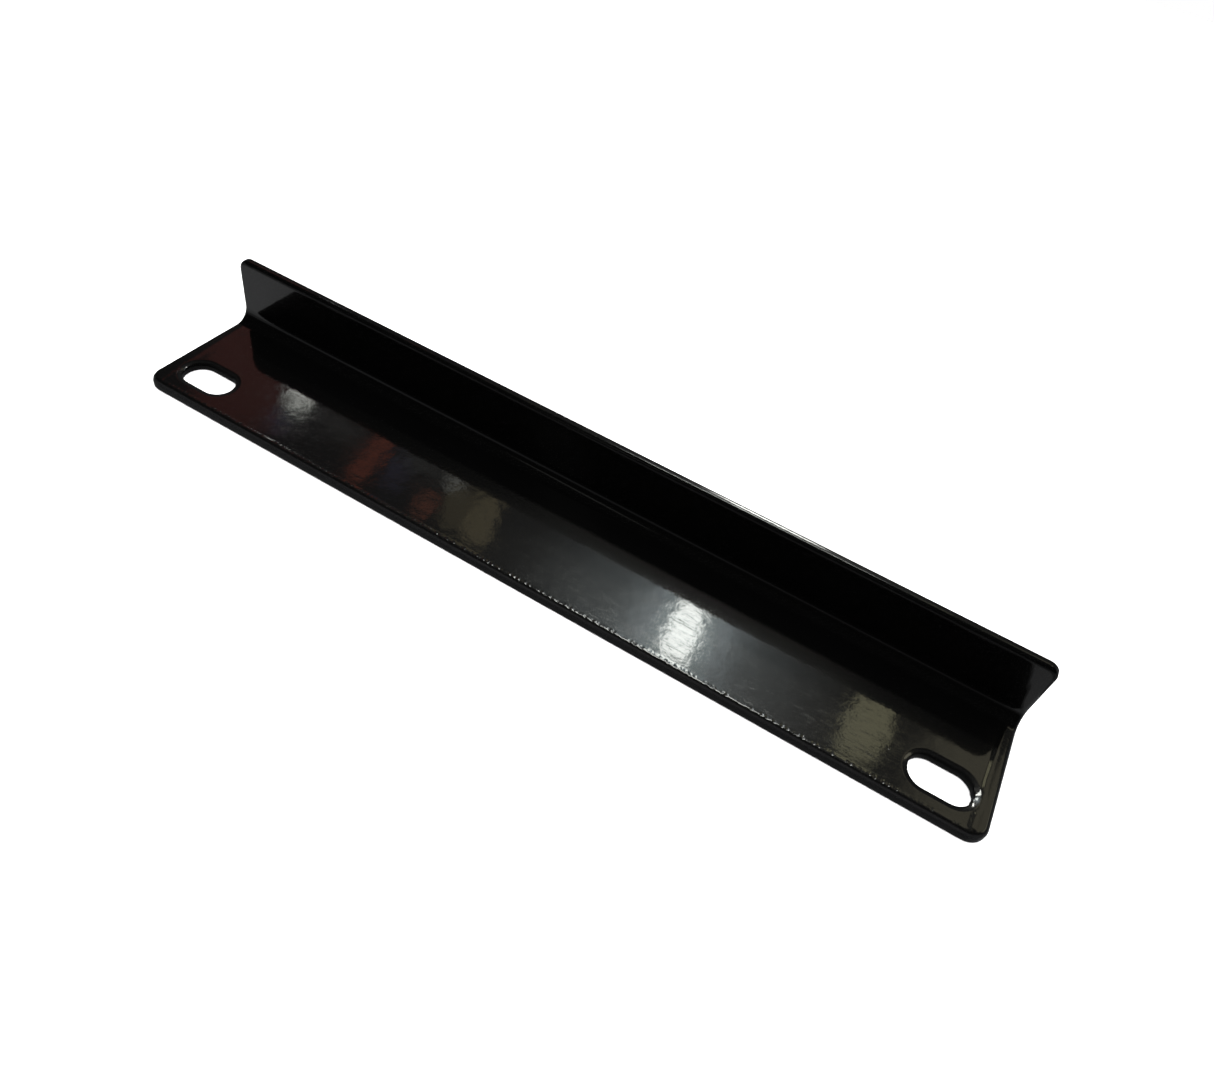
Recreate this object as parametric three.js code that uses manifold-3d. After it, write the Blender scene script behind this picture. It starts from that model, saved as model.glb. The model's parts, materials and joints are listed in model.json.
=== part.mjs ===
// Kick plate: one steel sheet, cut to outline, slotted at both ends and folded once into an angle.
// Millimetres, +Z up. The origin is on the underside, at the middle of the plate's length and depth.
// X runs along the fold, the free edge of the base is at -Y and the upstand is at +Y.

import * as THREE from 'three';
import { mergeVertices } from 'three/addons/utils/BufferGeometryUtils.js';
import Module from 'manifold-3d';

const wasm = await Module();
wasm.setup();

// Outside sizes of the coated plate.
const LENGTH = 300;
const BASE_DEPTH = 50;
const UPSTAND_HEIGHT = 28;
const THICKNESS = 3.4; // 3 mm sheet and its coating on both faces

// The fold and the rounded corners of the blank.
const INSIDE_BEND_RADIUS = 5;
const OUTSIDE_BEND_RADIUS = INSIDE_BEND_RADIUS + THICKNESS;
const BASE_CORNER_RADIUS = 6;
const UPSTAND_CORNER_RADIUS = 4;

// Two obround bolt slots, long way along the plate: cut 20 by 12, less the coating on their walls.
const SLOT_LENGTH = 19.6;
const SLOT_WIDTH = 11.6;
const SLOT_SPACING = 268;
const SLOT_FROM_FREE_EDGE = 12.8;

const FREE_EDGE_Y = -BASE_DEPTH / 2;
const BACK_Y = BASE_DEPTH / 2;
const QUARTER_TURN = Math.PI / 2;
const BEND_SEGMENTS = 24;
const CORNER_SEGMENTS = 16;
const CUTTER_MARGIN = 5; // how far a cutting outline runs past the metal

// A shape's own x and y become these two axes of the plate, and its depth runs along the third.
const SECTION_PLANE = { across: [0, 1, 0], up: [0, 0, 1], along: [1, 0, 0] };
const PLAN_PLANE = { across: [1, 0, 0], up: [0, 1, 0], along: [0, 0, 1] };
const ELEVATION_PLANE = { across: [-1, 0, 0], up: [0, 0, 1], along: [0, 1, 0] };

function extrudeIn(plane, shape, start, end, curveSegments) {
  const geometry = new THREE.ExtrudeGeometry(shape, {
    depth: end - start,
    steps: 1,
    bevelEnabled: false,
    curveSegments,
  });
  geometry.translate(0, 0, start);
  const [across, up, along] = [plane.across, plane.up, plane.along].map((axis) => new THREE.Vector3(...axis));
  geometry.applyMatrix4(new THREE.Matrix4().makeBasis(across, up, along));
  return toSolid(geometry);
}

function toSolid(geometry) {
  geometry.deleteAttribute('normal');
  geometry.deleteAttribute('uv');
  const merged = mergeVertices(geometry);
  const mesh = new wasm.Mesh({
    numProp: 3,
    vertProperties: new Float32Array(merged.attributes.position.array),
    triVerts: new Uint32Array(merged.index.array),
  });
  return new wasm.Manifold(mesh);
}

function toGeometry(solid) {
  const mesh = solid.getMesh();
  const geometry = new THREE.BufferGeometry();
  geometry.setAttribute('position', new THREE.BufferAttribute(mesh.vertProperties, 3));
  geometry.setIndex(new THREE.BufferAttribute(mesh.triVerts, 1));
  geometry.computeVertexNormals();
  return geometry;
}

// The folded sheet's cross-section: base, bend and upstand at one thickness all round.
function foldedSection() {
  const bendY = BACK_Y - OUTSIDE_BEND_RADIUS;
  const bendZ = OUTSIDE_BEND_RADIUS;
  const section = new THREE.Shape();
  section.moveTo(FREE_EDGE_Y, 0);
  section.lineTo(bendY, 0);
  section.absarc(bendY, bendZ, OUTSIDE_BEND_RADIUS, -QUARTER_TURN, 0, false);
  section.lineTo(BACK_Y, UPSTAND_HEIGHT);
  section.lineTo(BACK_Y - THICKNESS, UPSTAND_HEIGHT);
  section.lineTo(BACK_Y - THICKNESS, bendZ);
  section.absarc(bendY, bendZ, INSIDE_BEND_RADIUS, 0, -QUARTER_TURN, true);
  section.lineTo(FREE_EDGE_Y, THICKNESS);
  section.closePath();
  return section;
}

// A straight-sided outline whose two corners on one side are rounded: the rounded side is at
// roundedSide, and the outline runs from there to squareSide, which lies clear of the metal.
function cornerOutline(roundedSide, squareSide, radius) {
  const half = LENGTH / 2;
  const inward = Math.sign(squareSide - roundedSide);
  const centre = roundedSide + inward * radius;
  const towardsRounded = -inward * QUARTER_TURN;
  const clockwise = inward < 0;
  const outline = new THREE.Shape();
  outline.absarc(-half + radius, centre, radius, inward * Math.PI, inward * 3 * QUARTER_TURN, clockwise);
  outline.absarc(half - radius, centre, radius, towardsRounded, 0, clockwise);
  outline.lineTo(half, squareSide);
  outline.lineTo(-half, squareSide);
  outline.closePath();
  return outline;
}

function slotOutline(centreX, centreY) {
  const radius = SLOT_WIDTH / 2;
  const reach = (SLOT_LENGTH - SLOT_WIDTH) / 2;
  const outline = new THREE.Shape();
  outline.absarc(centreX + reach, centreY, radius, -QUARTER_TURN, QUARTER_TURN, false);
  outline.absarc(centreX - reach, centreY, radius, QUARTER_TURN, 3 * QUARTER_TURN, false);
  outline.closePath();
  return outline;
}

function foldedSheet() {
  return extrudeIn(SECTION_PLANE, foldedSection(), -LENGTH / 2, LENGTH / 2, BEND_SEGMENTS);
}

function baseCornerTrim() {
  const outline = cornerOutline(FREE_EDGE_Y, BACK_Y + CUTTER_MARGIN, BASE_CORNER_RADIUS);
  return extrudeIn(PLAN_PLANE, outline, -CUTTER_MARGIN, UPSTAND_HEIGHT + CUTTER_MARGIN, CORNER_SEGMENTS);
}

function upstandCornerTrim() {
  const outline = cornerOutline(UPSTAND_HEIGHT, -CUTTER_MARGIN, UPSTAND_CORNER_RADIUS);
  return extrudeIn(
    ELEVATION_PLANE,
    outline,
    FREE_EDGE_Y - CUTTER_MARGIN,
    BACK_Y + CUTTER_MARGIN,
    CORNER_SEGMENTS,
  );
}

function boltSlot(side) {
  const outline = slotOutline((side * SLOT_SPACING) / 2, FREE_EDGE_Y + SLOT_FROM_FREE_EDGE);
  return extrudeIn(PLAN_PLANE, outline, -CUTTER_MARGIN, THICKNESS + CUTTER_MARGIN, CORNER_SEGMENTS);
}

function kickPlate() {
  let plate = foldedSheet().intersect(baseCornerTrim()).intersect(upstandCornerTrim());
  for (const side of [-1, 1]) {
    plate = plate.subtract(boltSlot(side));
  }
  const glossBlack = new THREE.MeshStandardMaterial({ color: 0x0b0b0c, roughness: 0.12, metalness: 0 });
  const mesh = new THREE.Mesh(toGeometry(plate), glossBlack);
  mesh.name = 'kick_plate';
  return mesh;
}

const model = new THREE.Group();
model.add(kickPlate());

export default model;
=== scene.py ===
"""A kick plate of folded steel sheet under a thick gloss-black coating, on a pale studio floor."""

import json
import math

import bpy
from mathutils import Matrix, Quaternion, Vector, noise
from mathutils.geometry import delaunay_2d_cdt


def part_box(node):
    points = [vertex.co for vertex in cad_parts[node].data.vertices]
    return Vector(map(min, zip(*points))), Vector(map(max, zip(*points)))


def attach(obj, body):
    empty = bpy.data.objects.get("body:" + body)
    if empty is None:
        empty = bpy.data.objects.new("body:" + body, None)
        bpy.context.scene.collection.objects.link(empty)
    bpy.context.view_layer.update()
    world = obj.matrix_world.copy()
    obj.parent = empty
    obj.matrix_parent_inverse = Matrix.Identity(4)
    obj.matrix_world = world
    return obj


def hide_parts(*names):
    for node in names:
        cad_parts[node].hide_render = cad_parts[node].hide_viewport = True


MM = 0.001
QUARTER_TURN = math.pi / 2
TINY = 1e-9

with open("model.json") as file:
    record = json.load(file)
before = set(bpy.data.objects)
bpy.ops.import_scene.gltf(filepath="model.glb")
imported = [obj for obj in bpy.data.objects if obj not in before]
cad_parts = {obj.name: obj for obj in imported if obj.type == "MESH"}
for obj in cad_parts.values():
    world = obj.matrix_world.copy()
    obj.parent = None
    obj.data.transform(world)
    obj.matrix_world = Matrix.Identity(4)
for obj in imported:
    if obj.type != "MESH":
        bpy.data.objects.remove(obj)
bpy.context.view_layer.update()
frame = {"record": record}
record = frame["record"]

# Sizes read from the frame.
LOW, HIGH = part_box("kick_plate")
LENGTH = HIGH.x - LOW.x
DEPTH = HIGH.y - LOW.y
HEIGHT = HIGH.z - LOW.z
MOUNTS = {mount["name"]: Vector(mount["pos_m"]) for mount in record["mounts"]}
THICKNESS = MOUNTS["base_top"].z
SLOT_CENTRES = [
    (Vector(opening["box_m"][0]) + Vector(opening["box_m"][1])) / 2
    for opening in record["physics"]["openings"]
]

# The fold, the blank's rounded corners and the slots.
INSIDE_BEND_RADIUS = 5 * MM
OUTSIDE_BEND_RADIUS = INSIDE_BEND_RADIUS + THICKNESS
MIDDLE_BEND_RADIUS = INSIDE_BEND_RADIUS + THICKNESS / 2
BASE_CORNER_RADIUS = 6 * MM
UPSTAND_CORNER_RADIUS = 4 * MM
SLOT_LENGTH = 19.6 * MM
SLOT_WIDTH = 11.6 * MM

# The blank lies flat before it is folded: u runs along the plate, s from the free edge over the bend
# to the upstand's top edge.
BEND_START = DEPTH - OUTSIDE_BEND_RADIUS
BEND_END = BEND_START + MIDDLE_BEND_RADIUS * QUARTER_TURN
BLANK_WIDTH = BEND_END + HEIGHT - OUTSIDE_BEND_RADIUS

# The coating rounds every edge. Power 1 gives a quarter ellipse and 2 a straight chamfer, and the
# last entry says how strong a painted highlight line is along the rounding.
UNDERSIDE_ROUNDING = 0.7 * MM
OUTER_EDGE = {"rounding": 1.5 * MM, "drop": 1.4 * MM, "power": 1.0, "painted_highlight": 1.0}
SLOT_EDGE = {"rounding": 1.7 * MM, "drop": 0.43 * MM, "power": 1.6, "painted_highlight": 0.25}
EDGE_MARGIN = 0.4 * MM

# Inside the plate's outline the coating stands proud in a low band. Its height wanders by a share over a
# length, and it dies away within a distance of the slots.
LEFT_END_BAND_HEIGHT = 0.03 * MM
RIGHT_END_BAND_HEIGHT = 0.12 * MM
SIDE_BAND_HEIGHT = 0.03 * MM
SIDE_BAND_WIDTH = 2.9 * MM
END_BAND_WIDTH = 6.6 * MM
END_BAND_WIDTH_AT_BEND = 4.8 * MM
UPSTAND_BAND_SHARE = 0.15
BAND_WANDER = 0.3
BAND_WANDER_LENGTH = 14 * MM
BAND_TO_SLOT = 3.2 * MM

# Fine beads along the free edge, where the coating drew back from it.
BEAD_HEIGHT = 0.14 * MM
BEAD_LENGTH = 0.8 * MM
BEAD_LINE = 1.9 * MM
BEAD_WIDTH = 0.5 * MM

# The mark that a hook left in the coating at the right slot's end while the plate hung to dry.
HOOK_MARK_HEIGHT = 0.22 * MM
HOOK_MARK_ANGLE = math.radians(-6)
HOOK_MARK_SPREAD = math.radians(6)
HOOK_MARK_GAP = math.radians(30)
HOOK_MARK_DEPTH = 0.3 * MM

# The mesh's attribute that tells where a painted highlight line lies, half-way round the rounded edges.
PAINTED_HIGHLIGHT_ATTRIBUTE = "painted_edge_highlight"

# The coating's finish: what each fault adds to its roughness and to its grey, how much grey a painted
# highlight adds along the rounded edges, and its relief's depth.
CLEAN_ROUGHNESS = 0.035
SMUDGE_ROUGHNESS = 0.05
SCRATCH_ROUGHNESS = 0.11
GRAIN_ROUGHNESS = 0.05
DUST_ROUGHNESS = 0.4
DEEP_GREY = 0.0006
# Grey painted along the rounded edges as a highlight line, in place of their reflected light.
PAINTED_HIGHLIGHT_GREY = 0.005
DUST_GREY = 0.05
RELIEF_DEPTH = 0.02 * MM
GRAIN_RELIEF_SHARE = 0.3

# The coating's noises, in patches per metre. Hairlines run at a few angles, in degrees, and each angle's
# come in patches of its own. Their width is a share of their noise's range.
SMUDGES = 90.0
FINE_GRAIN = 1300.0
ORANGE_PEEL = 230.0
DUST = 420.0
DUSTY_PATCHES = 35.0
HAIRLINES = (70, 900, 900)
HAIRLINE_WIDTH = 0.014
HAIRLINE_ANGLES_AND_PATCHES = ((62, 25.0), (-20, 31.0), (15, 28.0), (105, 34.0))

# Mesh density.
EDGE_STEP = 0.4 * MM
BAND_STEP = 0.3 * MM
GRID_STEP = 2 * MM
LONG_GRID_STEP = 4 * MM
BEND_STEPS = 28
CORNER_STEPS = 16
SLOT_END_STEPS = 48
ROUNDING_STEPS = 9
TANGENT_GAP = 0.25 * MM

# The mesh's loops are numbered: the outline, then one for each slot. Points inside the blank have none.
OUTLINE = 0
NO_LOOP = -1

# The studio: a floor, cards of light that hang over it, and small cards that lie just over it.
FLOOR_HALF_WIDTH = 1.0
CARD_HEIGHT = 1.0
CARD_GAP = 1 * MM
FLOOR_CARD_LIFT = 0.5 * MM
FILL_WIDTH = 2.4
FILL_RADIANCE = 4.2
NEUTRAL = (1, 1, 1)
WARM_WHITE = (1, 1, 0.92)

# The world's radiance as the reflections see it: the room in front of the plate and behind it, the line
# at floor level to the right and to the left, and the floor. The line fades between two elevations, kept
# as their sines. The camera sees a white world.
ROOM_IN_FRONT = 0.01
ROOM_BEHIND = 0.08
LINE_RIGHT = 0.12
LINE_LEFT = 0.3
DIM_FLOOR = 0.17
LINE_FADE_START = math.sin(math.radians(3))
LINE_FADE_END = math.sin(math.radians(10))
SEEN_WORLD = 1.0


def spaced(start, end, step):
    """Evenly spaced values from start up to, but not including, end."""
    count = max(1, round(abs(end - start) / step))
    return [start + (end - start) * k / count for k in range(count)]


def arc(centre, radius, start, turn, steps, outwards):
    """Points on an arc with the direction into the metal at each, which is outwards times the way from
    the centre."""
    points = []
    for k in range(steps):
        angle = start + turn * k / steps
        away = Vector((math.cos(angle), math.sin(angle)))
        points.append((centre + away * radius, away * outwards))
    return points


def crosswise_steps(step):
    """Places across the blank between its corners, close together round the bend."""
    flat_base = spaced(BASE_CORNER_RADIUS, BEND_START - TANGENT_GAP, step)
    bend = spaced(BEND_START, BEND_END, (BEND_END - BEND_START) / BEND_STEPS)
    flat_upstand = spaced(BEND_END + TANGENT_GAP, BLANK_WIDTH - UPSTAND_CORNER_RADIUS, step)
    return flat_base + [BEND_START - TANGENT_GAP] + bend + [BEND_END] + flat_upstand


def outer_loop():
    """The blank's outline, anticlockwise, as points with the direction into the metal."""
    half = LENGTH / 2
    base_centre = half - BASE_CORNER_RADIUS
    upstand_centre = half - UPSTAND_CORNER_RADIUS
    upstand_s = BLANK_WIDTH - UPSTAND_CORNER_RADIUS
    corners = [
        (Vector((base_centre, BASE_CORNER_RADIUS)), BASE_CORNER_RADIUS),
        (Vector((upstand_centre, upstand_s)), UPSTAND_CORNER_RADIUS),
        (Vector((-upstand_centre, upstand_s)), UPSTAND_CORNER_RADIUS),
        (Vector((-base_centre, BASE_CORNER_RADIUS)), BASE_CORNER_RADIUS),
    ]
    across = crosswise_steps(EDGE_STEP)
    along_upstand = spaced(upstand_centre, -upstand_centre, EDGE_STEP)
    along_base = spaced(-base_centre, base_centre, EDGE_STEP)
    sides = [
        [(Vector((half, s)), Vector((-1, 0))) for s in across],
        [(Vector((u, BLANK_WIDTH)), Vector((0, -1))) for u in along_upstand],
        [(Vector((-half, s)), Vector((1, 0))) for s in [upstand_s] + across[:0:-1]],
        [(Vector((u, 0)), Vector((0, 1))) for u in along_base],
    ]
    loop = []
    for turn, ((centre, radius), side) in enumerate(zip(corners, sides)):
        loop += arc(centre, radius, (turn - 1) * QUARTER_TURN, QUARTER_TURN, CORNER_STEPS, -1)
        loop += side
    return loop


def hook_mark(point, distance):
    """How far the coating stands into the right slot where the hook touched: two small beads that die
    away with the distance from the edge."""
    right_slot = max(SLOT_CENTRES, key=lambda centre: centre.x)
    end_centre = Vector((right_slot.x + (SLOT_LENGTH - SLOT_WIDTH) / 2, right_slot.y - LOW.y))
    away = point - end_centre
    if away.length > SLOT_WIDTH / 2 + TANGENT_GAP:
        return 0
    angle = math.atan2(away.y, away.x)
    beads = (HOOK_MARK_ANGLE, HOOK_MARK_ANGLE + HOOK_MARK_GAP)
    bulge = sum(math.exp(-(((angle - bead) / HOOK_MARK_SPREAD) ** 2)) for bead in beads)
    return HOOK_MARK_HEIGHT * bulge * math.exp(-((distance / HOOK_MARK_DEPTH) ** 2))


def slot_loop(centre):
    """A slot's outline, clockwise, as points with the direction into the metal."""
    radius = SLOT_WIDTH / 2
    reach = (SLOT_LENGTH - SLOT_WIDTH) / 2
    s = centre.y - LOW.y
    right_end = arc(Vector((centre.x + reach, s)), radius, QUARTER_TURN, -math.pi, SLOT_END_STEPS, 1)
    left_end = arc(Vector((centre.x - reach, s)), radius, -QUARTER_TURN, -math.pi, SLOT_END_STEPS, 1)
    straight = spaced(reach, -reach, EDGE_STEP)
    near_side = [(Vector((centre.x + u, s - radius)), Vector((0, -1))) for u in straight]
    far_side = [(Vector((centre.x - u, s + radius)), Vector((0, 1))) for u in straight]
    return right_end + near_side + left_end + far_side


def reach_of(edge):
    """How far in from the edge its swept section goes."""
    return edge["rounding"] + EDGE_MARGIN


def edge_section(edge):
    """The coated edge's section from the underside round to the top, as (distance in from the edge,
    height above mid-sheet, strength of a painted highlight line). The painted highlight is strongest
    half-way round the top edge."""
    half = THICKNESS / 2
    reach = reach_of(edge)
    section = [(reach, -half, 0), (UNDERSIDE_ROUNDING + TANGENT_GAP, -half, 0)]
    for k in range(ROUNDING_STEPS + 1):
        angle = QUARTER_TURN * k / ROUNDING_STEPS
        height = UNDERSIDE_ROUNDING * (1 - math.cos(angle)) - half
        section.append((UNDERSIDE_ROUNDING * (1 - math.sin(angle)), height, 0))
    for k in range(ROUNDING_STEPS + 1):
        angle = QUARTER_TURN * k / ROUNDING_STEPS
        distance = edge["rounding"] * (1 - max(math.cos(angle), 0) ** edge["power"])
        height = half - edge["drop"] * (1 - math.sin(angle) ** edge["power"])
        # The last entry paints a highlight line, strongest half-way round the rounding.
        section.append((distance, height, edge["painted_highlight"] * math.sin(2 * angle) ** 4))
    section.append((edge["rounding"] + EDGE_MARGIN / 2, half, 0))
    section.append((reach, half, 0))
    return section


def climb_at(s):
    """0 on the base, 1 on the upstand, and between them round the bend."""
    return min(max((s - BEND_START) / (BEND_END - BEND_START), 0), 1)


def band_at(u, s):
    """The height of the coating's band, which climbs slowly from the outline, then falls to the flat."""
    along = min(s / BEND_START, 1)
    end_width = END_BAND_WIDTH + (END_BAND_WIDTH_AT_BEND - END_BAND_WIDTH) * along
    near_end = max(1 - (LENGTH / 2 - abs(u)) / end_width, 0)
    near_side = max(1 - min(s, BLANK_WIDTH - s) / SIDE_BAND_WIDTH, 0)
    inwards = 1 - min(math.hypot(near_end, near_side), 1)
    end_height = RIGHT_END_BAND_HEIGHT if u > 0 else LEFT_END_BAND_HEIGHT
    height = (end_height * near_end + SIDE_BAND_HEIGHT * near_side) / max(near_end + near_side, TINY)
    wander = 1 + BAND_WANDER * noise.noise(Vector((u, s, 0)) / BAND_WANDER_LENGTH)
    to_slot = min(distance_to_slot(u, s, centre) for centre in SLOT_CENTRES)
    share = 1 - climb_at(s) * (1 - UPSTAND_BAND_SHARE)
    share *= min(max(to_slot / BAND_TO_SLOT, 0), 1) ** 2
    return height * wander * share * math.sin(math.pi * inwards**2) ** 2


def beads_at(u, s):
    """The height of the beads along the free edge."""
    across = math.exp(-(((s - BEAD_LINE) / BEAD_WIDTH) ** 2))
    return BEAD_HEIGHT * across * noise.noise(Vector((u / BEAD_LENGTH, 0, 0)))


def top_point(u, s, height):
    """A folded point of the top, raised by the coating's relief."""
    return fold(u, s, height + band_at(u, s) + beads_at(u, s))


def fold(u, s, height):
    """Where a point of the flat blank ends up on the folded plate."""
    if s <= BEND_START:
        return Vector((u, LOW.y + s, THICKNESS / 2 + height))
    bend_y = LOW.y + BEND_START
    radius = MIDDLE_BEND_RADIUS - height
    if s >= BEND_END:
        return Vector((u, bend_y + radius, OUTSIDE_BEND_RADIUS + s - BEND_END))
    angle = (s - BEND_START) / MIDDLE_BEND_RADIUS
    along, up = radius * math.sin(angle), radius * math.cos(angle)
    return Vector((u, bend_y + along, OUTSIDE_BEND_RADIUS - up))


def distance_to_slot(u, s, centre):
    """How far a point of the blank is from a slot's edge, negative inside it."""
    reach = (SLOT_LENGTH - SLOT_WIDTH) / 2
    along = max(abs(u - centre.x) - reach, 0)
    return math.hypot(along, s - (centre.y - LOW.y)) - SLOT_WIDTH / 2


def rows():
    """Places across the blank for the interior's rows of points, close together along the free edge."""
    free_edge = spaced(reach_of(OUTER_EDGE) + BAND_STEP, BASE_CORNER_RADIUS, BAND_STEP)
    return free_edge + crosswise_steps(GRID_STEP)


def columns(step):
    """Places along the blank for the interior's columns, close together in the bands at its ends."""
    end = LENGTH / 2 - reach_of(OUTER_EDGE) - BAND_STEP
    band = LENGTH / 2 - END_BAND_WIDTH
    left_band = spaced(-end, -band, BAND_STEP)
    right_band = spaced(band, end, BAND_STEP) + [end]
    return left_band + spaced(-band, band, step) + right_band


def inner_grid():
    """Points of the blank's interior, clear of the swept edges."""
    slot_margin = reach_of(SLOT_EDGE) + BAND_STEP
    outer_margin = reach_of(OUTER_EDGE) + BAND_STEP
    points = []
    for s in rows():
        step = BAND_STEP if s < BASE_CORNER_RADIUS else LONG_GRID_STEP
        for u in columns(step):
            to_slot = min(distance_to_slot(u, s, centre) for centre in SLOT_CENTRES)
            if to_slot > slot_margin and distance_to_outline(u, s) > outer_margin:
                points.append(Vector((u, s)))
    return points


def distance_to_outline(u, s):
    """How far a point of the blank is inside its outline."""
    radius = BASE_CORNER_RADIUS if s < BEND_START else UPSTAND_CORNER_RADIUS
    to_end = LENGTH / 2 - abs(u)
    to_side = min(s, BLANK_WIDTH - s)
    corner = math.hypot(max(radius - to_end, 0), max(radius - to_side, 0))
    return radius - corner if corner else min(to_end, to_side)


def fills_slot(loop_numbers):
    """Whether a triangle's corners all lie on one slot's edge."""
    return min(loop_numbers) == max(loop_numbers) > OUTLINE


class ClosedSheet:
    """The plate's mesh as it grows: edges swept round the loops of the flat blank, then a top and an
    underside triangulated between them."""

    def __init__(self):
        self.vertices = []
        self.faces = []
        self.painted_highlights = []
        self.flat_points = []
        self.flat_edges = []
        self.loop_numbers = []
        self.under_ids = []
        self.top_ids = []

    def add_flat_point(self, point, loop_number, under_id, top_id):
        """Note a point of the blank where the underside and the top have a vertex each."""
        self.flat_points.append(point)
        self.loop_numbers.append(loop_number)
        self.under_ids.append(under_id)
        self.top_ids.append(top_id)

    def sweep(self, loop_number, loop, edge):
        """Sweep an edge's section round a loop."""
        section = edge_section(edge)
        count = len(section)
        first, ring = len(self.vertices), len(self.flat_points)
        for k, (point, inwards) in enumerate(loop):
            for distance, height, painted_highlight in section:
                place = point + inwards * (distance - hook_mark(point, distance))
                shape = top_point if height > 0 else fold
                self.vertices.append(shape(place.x, place.y, height))
                # The painted highlight fades out round the bend, so the upstand has none.
                self.painted_highlights.append(painted_highlight * (1 - climb_at(place.y)))
            after_k = (k + 1) % len(loop)
            here, after = first + k * count, first + after_k * count
            self.faces += [(here + j, after + j, after + j + 1, here + j + 1) for j in range(count - 1)]
            self.flat_edges.append((ring + k, ring + after_k))
            self.add_flat_point(point + inwards * reach_of(edge), loop_number, here, here + count - 1)

    def add_inner_points(self):
        """Add the blank's inner points to the underside and the top."""
        for point in inner_grid():
            under_id = len(self.vertices)
            self.vertices.append(fold(point.x, point.y, -THICKNESS / 2))
            self.vertices.append(top_point(point.x, point.y, THICKNESS / 2))
            self.painted_highlights += [0, 0]
            self.add_flat_point(point, NO_LOOP, under_id, under_id + 1)

    def fill(self):
        """Triangulate the blank between the swept edges, for the top and the underside at once."""
        whole_hull = 0
        result = delaunay_2d_cdt(self.flat_points, self.flat_edges, [], whole_hull, TINY)
        _, _, triangles, origins, _, _ = result
        sources = [origin[0] for origin in origins]
        for triangle in triangles:
            corners = [sources[k] for k in triangle]
            if fills_slot([self.loop_numbers[k] for k in corners]):
                continue
            self.faces.append(tuple(self.top_ids[k] for k in corners))
            self.faces.append(tuple(self.under_ids[k] for k in reversed(corners)))


def plate_mesh():
    """The coated plate as one closed mesh."""
    sheet = ClosedSheet()
    loops = [(outer_loop(), OUTER_EDGE)] + [(slot_loop(centre), SLOT_EDGE) for centre in SLOT_CENTRES]
    for loop_number, (loop, edge) in enumerate(loops, OUTLINE):
        sheet.sweep(loop_number, loop, edge)
    sheet.add_inner_points()
    sheet.fill()
    mesh = bpy.data.meshes.new("coated_plate")
    mesh.from_pydata(sheet.vertices, [], sheet.faces)
    mesh.attributes.new(PAINTED_HIGHLIGHT_ATTRIBUTE, "FLOAT", "POINT").data.foreach_set("value", sheet.painted_highlights)
    mesh.validate()
    mesh.shade_smooth()
    return mesh


class Nodes:
    """A short way to add and link the nodes of one material, light or world."""

    def __init__(self, owner):
        owner.use_nodes = True
        self.tree = owner.node_tree

    def named(self, name):
        return self.tree.nodes[name]

    def link(self, source, target):
        if hasattr(source, "links"):
            self.tree.links.new(source, target)
        else:
            target.default_value = source

    def add(self, kind, inputs, output, **settings):
        """Add a node, set or link its inputs, and return one of its outputs."""
        node = self.tree.nodes.new(kind)
        for name, value in settings.items():
            setattr(node, name, value)
        for name, source in inputs.items():
            self.link(source, node.inputs[name])
        return node.outputs[output]

    def place(self):
        return self.add("ShaderNodeTexCoord", {}, "Object")

    def turned(self, vector, angle, scale):
        inputs = {"Vector": vector, "Rotation": (0, 0, angle), "Scale": scale}
        return self.add("ShaderNodeMapping", inputs, "Vector")

    def noise(self, vector, scale, detail=2.0, roughness=0.5):
        inputs = {"Vector": vector, "Scale": scale, "Detail": detail, "Roughness": roughness}
        return self.add("ShaderNodeTexNoise", inputs, "Fac")

    def ramp(self, value, start, end, low=0.0, high=1.0):
        inputs = {"Value": value, "From Min": start, "From Max": end, "To Min": low, "To Max": high}
        return self.add("ShaderNodeMapRange", inputs, "Result", interpolation_type="SMOOTHSTEP")

    def maths(self, operation, first, second=0.0):
        inputs = {0: first, 1: second}
        return self.add("ShaderNodeMath", inputs, "Value", operation=operation)

    def grey(self, level):
        inputs = {"Red": level, "Green": level, "Blue": level}
        return self.add("ShaderNodeCombineColor", inputs, "Color")

    def split(self, vector):
        """A vector's parts, by the names X, Y and Z."""
        node = self.tree.nodes.new("ShaderNodeSeparateXYZ")
        self.link(vector, node.inputs["Vector"])
        return node.outputs

    def mix(self, share, first, second):
        """Mix two numbers: a Mix node takes them at 2 and 3 and gives the result at 0."""
        return self.add("ShaderNodeMix", {"Factor": share, 2: first, 3: second}, 0, data_type="FLOAT")


def hairlines(nodes, place, angle, where):
    """Thin straight scratches in one direction: the level lines of a noise stretched along it."""
    streaks = nodes.noise(nodes.turned(place, angle, HAIRLINES), 1.0, 1.0)
    off_level = nodes.maths("ABSOLUTE", nodes.maths("SUBTRACT", streaks, 0.5))
    return nodes.maths("MULTIPLY", nodes.ramp(off_level, HAIRLINE_WIDTH, 0.0), where)


def dust(nodes, place):
    """Sparse pale specks."""
    cells = nodes.tree.nodes.new("ShaderNodeTexVoronoi")
    nodes.link(place, cells.inputs["Vector"])
    nodes.link(DUST, cells.inputs["Scale"])
    near_centre = nodes.ramp(cells.outputs["Distance"], 0.10, 0.05)
    chosen = nodes.maths("GREATER_THAN", cells.outputs["Color"], 0.85)
    patchy = nodes.ramp(nodes.noise(place, DUSTY_PATCHES), 0.5, 0.62)
    return nodes.maths("MULTIPLY", nodes.maths("MULTIPLY", near_centre, chosen), patchy)


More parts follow.
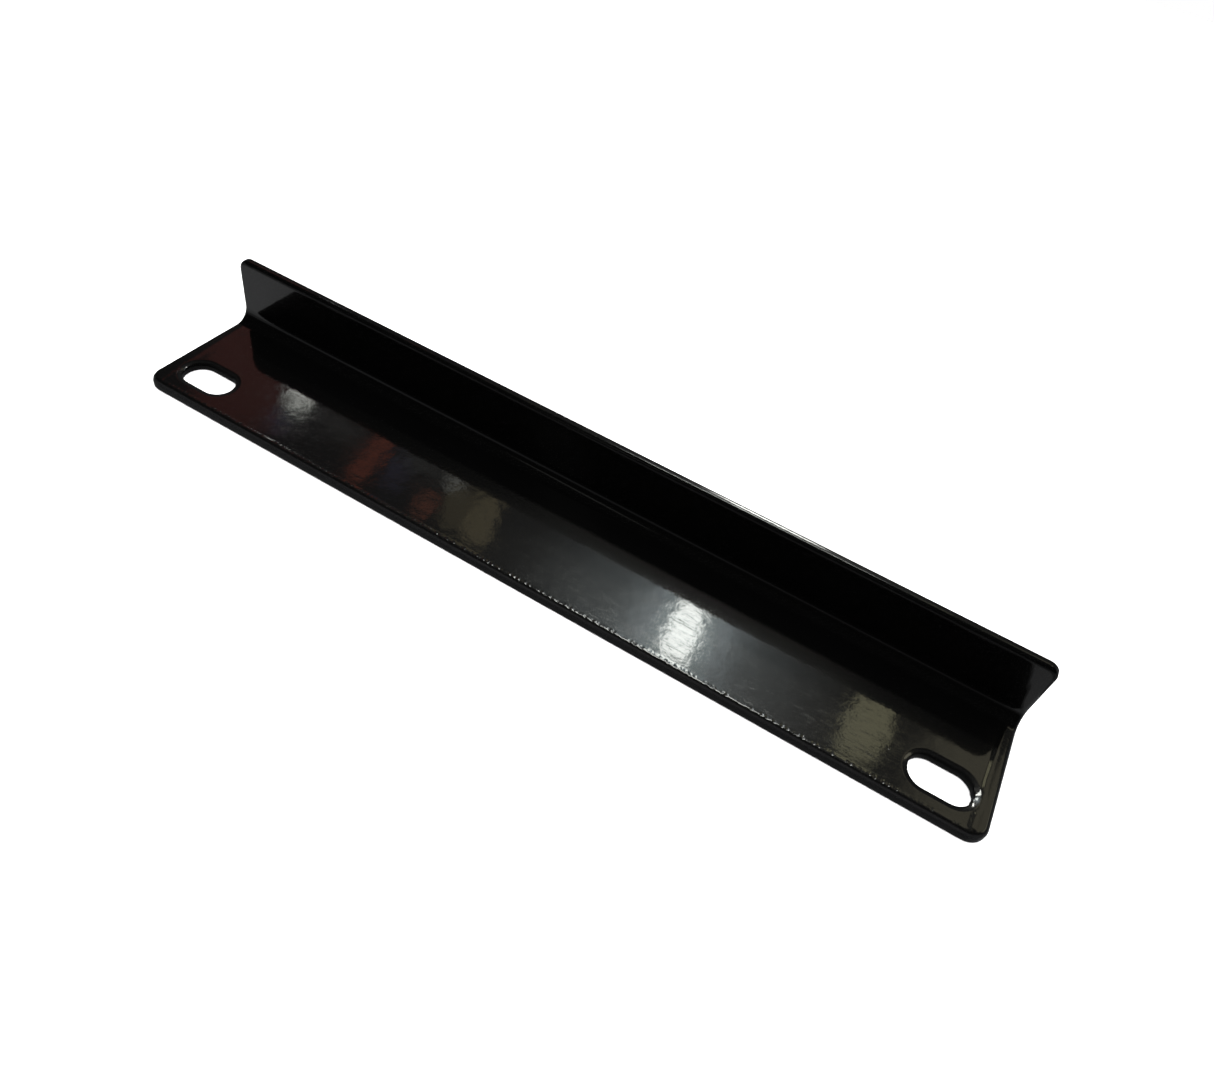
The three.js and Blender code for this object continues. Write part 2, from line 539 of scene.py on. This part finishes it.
def coating_roughness(nodes, place, fine_grain, specks):
    """Smooth but for smudges, hairline scratches, a fine grain and dust."""
    scratches = 0.0
    for angle, patches in HAIRLINE_ANGLES_AND_PATCHES:
        handled = nodes.ramp(nodes.noise(place, patches, 3.0), 0.44, 0.62)
        lines = hairlines(nodes, place, math.radians(angle), handled)
        scratches = nodes.maths("MAXIMUM", scratches, lines)
    smudges = nodes.ramp(nodes.noise(place, SMUDGES, 5.0, 0.65), 0.45, 0.75, 0.0, SMUDGE_ROUGHNESS)
    worn = nodes.maths("ADD", smudges, nodes.maths("MULTIPLY", scratches, SCRATCH_ROUGHNESS))
    grainy = nodes.maths("ADD", worn, nodes.ramp(fine_grain, 0.5, 0.75, 0.0, GRAIN_ROUGHNESS))
    rough = nodes.maths("ADD", grainy, nodes.maths("MULTIPLY", specks, DUST_ROUGHNESS))
    return nodes.maths("ADD", rough, CLEAN_ROUGHNESS)


def coating_colour(nodes, specks):
    """Deep black, a touch greyer in a painted highlight line along the rounded edges, and pale at dust.
    """
    painted_highlight = nodes.add("ShaderNodeAttribute", {}, "Fac", attribute_name=PAINTED_HIGHLIGHT_ATTRIBUTE)
    # Painted highlight: grey added where the mesh marks the rounded edges.
    black = nodes.maths("ADD", DEEP_GREY, nodes.maths("MULTIPLY", painted_highlight, PAINTED_HIGHLIGHT_GREY))
    return nodes.grey(nodes.maths("ADD", black, nodes.maths("MULTIPLY", specks, DUST_GREY)))


def coating_relief(nodes, place, fine_grain):
    """Orange peel with a fine grain on it."""
    orange_peel = nodes.noise(place, ORANGE_PEEL, 1.0)
    relief = nodes.maths("ADD", orange_peel, nodes.maths("MULTIPLY", fine_grain, GRAIN_RELIEF_SHARE))
    return nodes.add("ShaderNodeBump", {"Height": relief, "Distance": RELIEF_DEPTH}, "Normal")


def gloss_black():
    """Thick black enamel: a deep gloss with orange peel, and the wear of a handled plate."""
    material = bpy.data.materials.new("gloss_black_coating")
    nodes = Nodes(material)
    place = nodes.place()
    specks = dust(nodes, place)
    fine_grain = nodes.noise(place, FINE_GRAIN, 2.0)
    shader = nodes.named("Principled BSDF")
    nodes.link(coating_roughness(nodes, place, fine_grain, specks), shader.inputs["Roughness"])
    nodes.link(coating_colour(nodes, specks), shader.inputs["Base Color"])
    nodes.link(coating_relief(nodes, place, fine_grain), shader.inputs["Normal"])
    shader.inputs["IOR"].default_value = 1.38
    shader.inputs["Coat Weight"].default_value = 0.15
    shader.inputs["Coat Roughness"].default_value = 0.3
    shader.inputs["Coat IOR"].default_value = 1.5
    shader.inputs["Coat Tint"].default_value = (0.8, 0.92, 1, 1)
    return material


def coated_plate():
    """The plate as it is seen, in place of the CAD's."""
    plate = bpy.data.objects.new("coated_plate", plate_mesh())
    bpy.context.scene.collection.objects.link(plate)
    plate.data.materials.append(gloss_black())
    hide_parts("kick_plate")
    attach(plate, "root")


def pale_paint():
    """A matt, slightly uneven pale floor paint."""
    material = bpy.data.materials.new("pale_floor")
    nodes = Nodes(material)
    shader = nodes.named("Principled BSDF")
    pale = nodes.ramp(nodes.noise(nodes.place(), 3.0, 4.0), 0.3, 0.7, 0.87, 0.89)
    nodes.link(nodes.grey(pale), shader.inputs["Base Color"])
    shader.inputs["Roughness"].default_value = 0.9
    shader.inputs["Specular IOR Level"].default_value = 0.0
    return material


def floor():
    """A square floor that the reflections don't see."""
    half = FLOOR_HALF_WIDTH
    corners = [(-half, -half, 0), (half, -half, 0), (half, half, 0), (-half, half, 0)]
    mesh = bpy.data.meshes.new("floor")
    mesh.from_pydata(corners, [], [(0, 1, 2, 3)])
    ground = bpy.data.objects.new("floor", mesh)
    bpy.context.scene.collection.objects.link(ground)
    mesh.materials.append(pale_paint())
    ground.visible_glossy = False


def card(name, centre, size, colour, radiance, turn=0):
    """A level area light facing down, turned in plan by that many degrees, that the camera doesn't see.
    Each hangs a little lower than the last, so that none hides another."""
    light = bpy.data.lights.new(name, "AREA")
    light.shape = "RECTANGLE"
    light.size, light.size_y = size
    light.energy = math.pi * size[0] * size[1] * radiance
    light.color = colour
    hung = bpy.data.objects.new(name, light)
    hung.location = (*centre, CARD_HEIGHT - CARD_GAP * len(bpy.data.lights))
    hung.rotation_euler = (0, 0, math.radians(turn))
    hung.visible_camera = False
    bpy.context.scene.collection.objects.link(hung)
    return hung


def floor_card(name, centre, size, radiance):
    """A card just over the floor that faces up, for the reflections in the plate's walls."""
    pale = card(name, centre, size, NEUTRAL, radiance)
    pale.location.z = FLOOR_CARD_LIFT
    pale.rotation_euler.x = math.pi


def soft_card(name, centre, size, colour, radiance, turn, fade, mottle=0.0, grain=(5, 5, 1)):
    """A card that dies away towards its edges over the share fade; mottle says how far a noise of grain
    patches each way breaks up its outline."""
    hung = card(name, centre, size, colour, radiance, turn)
    feather(hung.data, fade, mottle, grain)


def feather(light, fade, mottle, grain):
    """Fade a card from its middle outwards along rounded rectangles."""
    nodes = Nodes(light)
    across = nodes.add("ShaderNodeNewGeometry", {}, "Parametric")
    parts = nodes.split(across)
    fourth_powers = []
    for axis in ("X", "Y"):
        from_middle = nodes.maths("MULTIPLY", nodes.maths("SUBTRACT", parts[axis], 0.5), 2.0)
        squared = nodes.maths("MULTIPLY", from_middle, from_middle)
        fourth_powers.append(nodes.maths("MULTIPLY", squared, squared))
    reach = nodes.maths("POWER", nodes.maths("ADD", *fourth_powers), 0.25)
    cloud = nodes.maths("SUBTRACT", nodes.noise(nodes.turned(across, 0.5, grain), 1.0, 4.0, 0.6), 0.5)
    edge = nodes.maths("ADD", reach, nodes.maths("MULTIPLY", cloud, mottle))
    nodes.link(nodes.ramp(edge, 1.0, 1.0 - fade), nodes.named("Emission").inputs["Strength"])


def lamp_cards():
    """A lamp's box and the wide cool glow round it."""
    cool = (0.84, 0.97, 1)
    soft_card("main_box", (-0.09, 0.797), (0.062, 0.165), WARM_WHITE, 26, 8, 0.25, 0.5)
    soft_card("halo", (-0.09, 0.80), (0.26, 0.30), cool, 5, 0, 1.0, 0.7, (14, 16, 1))
    soft_card("glow", (-0.11, 0.785), (0.60, 0.42), cool, 1.45, 0, 1.0, 1.2, (40, 28, 1))


def right_cards():
    """The cream wall's cards, mirrored near the right slot and beyond it."""
    cream = (1, 0.93, 0.56)
    sand = (1, 0.9, 0.62)
    pale_sand = (1, 0.93, 0.68)
    soft_card("cream_right", (0.245, 0.80), (0.080, 0.15), cream, 2.5, -3, 0.15, 0.15)
    soft_card("right_panel", (0.47, 0.80), (0.34, 0.34), sand, 0.95, 0, 0.5, 0.8, (12, 10, 1))
    soft_card("right_edge", (0.80, 0.76), (0.26, 0.40), pale_sand, 2.4, 0, 0.2)


def left_cards():
    """The coloured things mirrored from the left slot to the middle."""
    tan = (1, 0.82, 0.45)
    orange = (1, 0.32, 0.18)
    rust = (1, 0.24, 0.13)
    maroon = (1, 0.22, 0.16)
    blue = (0.6, 0.55, 1)
    soft_card("cream_left", (-0.503, 0.80), (0.058, 0.145), tan, 0.95, 20, 0.15, 0.25)
    soft_card("olive_left", (-0.555, 0.79), (0.06, 0.13), tan, 0.5, 25, 0.25, 0.25)
    soft_card("cream_corner", (-0.597, 0.845), (0.045, 0.06), WARM_WHITE, 1.6, 30, 0.8, 1.5)
    soft_card("left_haze", (-0.665, 0.843), (0.11, 0.05), WARM_WHITE, 0.3, 0, 0.4, 8.0, (4, 12, 1))
    soft_card("rust_spot", (-0.603, 0.762), (0.045, 0.065), orange, 0.9, 5, 0.4, 0.4)
    soft_card("rust_streak", (-0.752, 0.80), (0.048, 0.19), rust, 1.0, 9, 0.35, 0.4)
    soft_card("rust_left", (-1.085, 0.82), (0.18, 0.38), maroon, 0.34, 37, 0.25, 0.8)
    soft_card("blue_left", (-0.942, 0.762), (0.055, 0.08), blue, 0.4, 30, 0.7)
    soft_card("blue_right", (-0.69, 0.79), (0.06, 0.12), blue, 0.3, 22, 0.7)
    soft_card("scuff", (-0.957, 0.838), (0.050, 0.075), WARM_WHITE, 9, 30, 0.3, 6.0, (3, 12, 1))
    soft_card("scuff_tail", (-0.845, 0.824), (0.13, 0.05), WARM_WHITE, 0.25, -5, 0.3, 9.0, (3, 14, 1))


def edge_cards():
    """The strips that the beads, the upstand's top edge and the bend mirror."""
    soft_card("near_strip", (-0.07, 0.60), (0.50, 0.08), WARM_WHITE, 38, 0, 0.3)
    soft_card("upstand_card", (-0.065, 1.10), (0.27, 0.16), WARM_WHITE, 45, 0, 0.5, 1.0, (8, 3, 1))
    soft_card("bend_strip", (-0.40, -0.88), (0.12, 0.75), WARM_WHITE, 0.5, -38, 0.5)


def lights():
    """Cards of light, each where its mirror image in the coating belongs, and a fill that the
    reflections don't see. A card has a name, a place and a size in plan, a colour, a radiance and a
    turn, and a soft one then says how it fades."""
    lamp_cards()
    right_cards()
    left_cards()
    edge_cards()
    fill = card("overhead_fill", (0, 0), (FILL_WIDTH, FILL_WIDTH), NEUTRAL, FILL_RADIANCE)
    fill.visible_glossy = False
    floor_card("left_floor", (LOW.x - 26 * MM, 0), (0.05, 0.05), 0.35)
    floor_card("right_floor", (HIGH.x + 8.5 * MM, 0), (0.015, 0.05), 0.26)


def studio_world():
    """A pale room as the camera sees it. The reflections get a dim room, darker overhead and in front,
    with a paler line at floor level, stronger to the left, and a dim floor."""
    world = bpy.data.worlds.new("studio")
    bpy.context.scene.world = world
    nodes = Nodes(world)
    background = nodes.named("Background")
    way = nodes.split(nodes.add("ShaderNodeTexCoord", {}, "Generated"))
    room = nodes.ramp(way["Y"], 0.35, 0.55, ROOM_IN_FRONT, ROOM_BEHIND)
    level = nodes.ramp(way["Z"], LINE_FADE_START, LINE_FADE_END, 1.0, 0.0)
    line = nodes.ramp(way["X"], 0.1, -0.5, LINE_RIGHT, LINE_LEFT)
    above = nodes.maths("ADD", room, nodes.maths("MULTIPLY", level, line))
    below = nodes.maths("LESS_THAN", way["Z"], 0.0)
    mirrored = nodes.mix(below, above, DIM_FLOOR)
    seen = nodes.add("ShaderNodeLightPath", {}, "Is Camera Ray")
    nodes.link(nodes.mix(seen, mirrored, SEEN_WORLD), background.inputs["Strength"])
    background.inputs["Color"].default_value = (1, 1, 1, 1)


def camera():
    """A hand-held phone's view, a little off level, from in front of the free edge and above it."""
    data = bpy.data.cameras.new("camera")
    data.sensor_width = 36
    data.lens = 27.06
    data.clip_start = 0.01
    data.clip_end = 50
    eye = bpy.data.objects.new("camera", data)
    place = Vector((81.4, -183.2, 216.7)) * MM
    aim = Vector((14.8, 7.2, 3.4)) * MM
    roll = Quaternion((0, 0, 1), math.radians(13.76))
    eye.location = place
    eye.rotation_mode = "QUATERNION"
    eye.rotation_quaternion = (aim - place).to_track_quat("-Z", "Y") @ roll
    bpy.context.scene.collection.objects.link(eye)
    bpy.context.scene.camera = eye


bpy.context.scene.view_settings.view_transform = "Standard"
camera()
coated_plate()
floor()
lights()
studio_world()
